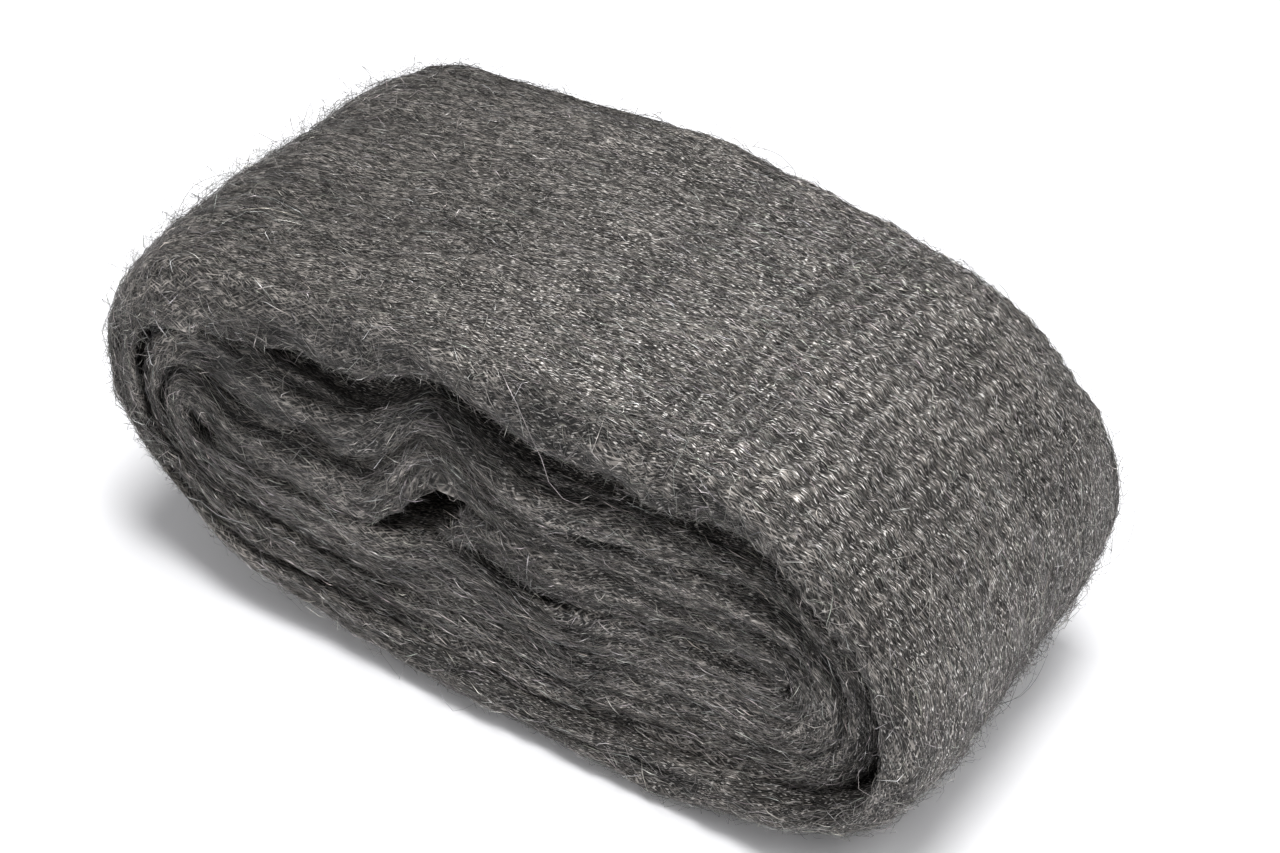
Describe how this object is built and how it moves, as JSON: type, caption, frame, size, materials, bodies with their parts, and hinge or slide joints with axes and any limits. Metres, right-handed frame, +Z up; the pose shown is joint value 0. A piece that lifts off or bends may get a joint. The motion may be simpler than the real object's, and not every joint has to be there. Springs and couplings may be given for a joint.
{
  "type": "steel wool pad",
  "caption": "Soft pad of fine steel wool: a strip of batt wound flat, its layers sagging over a hollow core at the open selvages, for scouring and smoothing.",
  "frame": {"origin": "on the surface that the pad lies on, under the middle of its box", "axes": "+X along the wound strip from the narrower fold to the fold where the last turn stands off, Y along the width of the strip with the face that the picture shows at -Y, +Z up"},
  "size_m": [0.11, 0.054, 0.0521],
  "materials": {
    "steel_wool": "bare fine steel fibres, dark grey with small glints"
  },
  "bodies": {
    "root": {"wool_roll": "steel_wool"}
  },
  "joints": []
}
